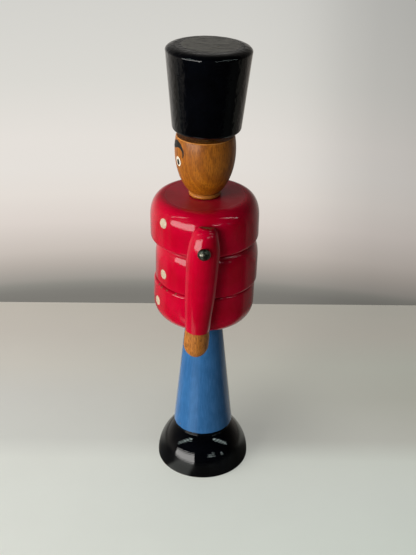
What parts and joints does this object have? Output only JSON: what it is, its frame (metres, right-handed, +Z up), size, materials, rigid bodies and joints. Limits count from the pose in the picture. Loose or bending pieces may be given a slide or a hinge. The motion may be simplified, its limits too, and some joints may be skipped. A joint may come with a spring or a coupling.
{
  "type": "toy soldier figure",
  "caption": "Turned wooden soldier threaded on an upright peg, with lift-off coat rings, head and tall hat, and two half-round arms that swing on domed pins.",
  "frame": {"origin": "centre of the foot's flat underside, on the peg's axis", "axes": "+Z up along the peg, the face looks along -Y, the left arm is at +X"},
  "size_m": [0.0984, 0.0698, 0.3],
  "materials": {
    "black_lacquer": "gloss lacquer on turned wood",
    "blue_lacquer": "satin lacquer on turned wood",
    "red_lacquer": "gloss lacquer on turned wood",
    "varnished_beech": "clear varnish, grain showing",
    "bare_beech": "unfinished dowel",
    "dark_steel": "dark polished steel, slightly tarnished"
  },
  "bodies": {
    "base": {"round_foot": "black_lacquer", "centre_peg": "bare_beech", "trousers": "blue_lacquer"},
    "lower_ring": {"lower_coat_ring": "red_lacquer"},
    "middle_ring": {"middle_coat_ring": "red_lacquer"},
    "upper_ring": {"upper_coat_ring": "red_lacquer", "left_arm_pin": "dark_steel", "right_arm_pin": "dark_steel"},
    "left_arm": {"left_arm": "red_lacquer"},
    "right_arm": {"right_arm": "red_lacquer"},
    "head": {"head": "varnished_beech"},
    "hat": {"hat": "black_lacquer"}
  },
  "joints": [
    {"name": "lower_ring_lift", "type": "slide", "parent": "base", "child": "lower_ring", "axis": [0, 0, 1], "range_m": [0, 0.158]},
    {"name": "middle_ring_lift", "type": "slide", "parent": "lower_ring", "child": "middle_ring", "axis": [0, 0, 1], "range_m": [0, 0.129]},
    {"name": "upper_ring_lift", "type": "slide", "parent": "middle_ring", "child": "upper_ring", "axis": [0, 0, 1], "range_m": [0, 0.1]},
    {"name": "head_lift", "type": "slide", "parent": "upper_ring", "child": "head", "axis": [0, 0, 1], "range_m": [0, 0.071]},
    {"name": "hat_lift", "type": "slide", "parent": "head", "child": "hat", "axis": [0, 0, 1], "range_m": [0, 0.028]},
    {"name": "left_arm_swing", "type": "hinge", "parent": "upper_ring", "child": "left_arm", "pos_m": [0.04, 0, 0.1851], "axis": [-1, 0, 0], "continuous": true},
    {"name": "right_arm_swing", "type": "hinge", "parent": "upper_ring", "child": "right_arm", "pos_m": [-0.04, 0, 0.1851], "axis": [-1, 0, 0], "continuous": true}
  ]
}
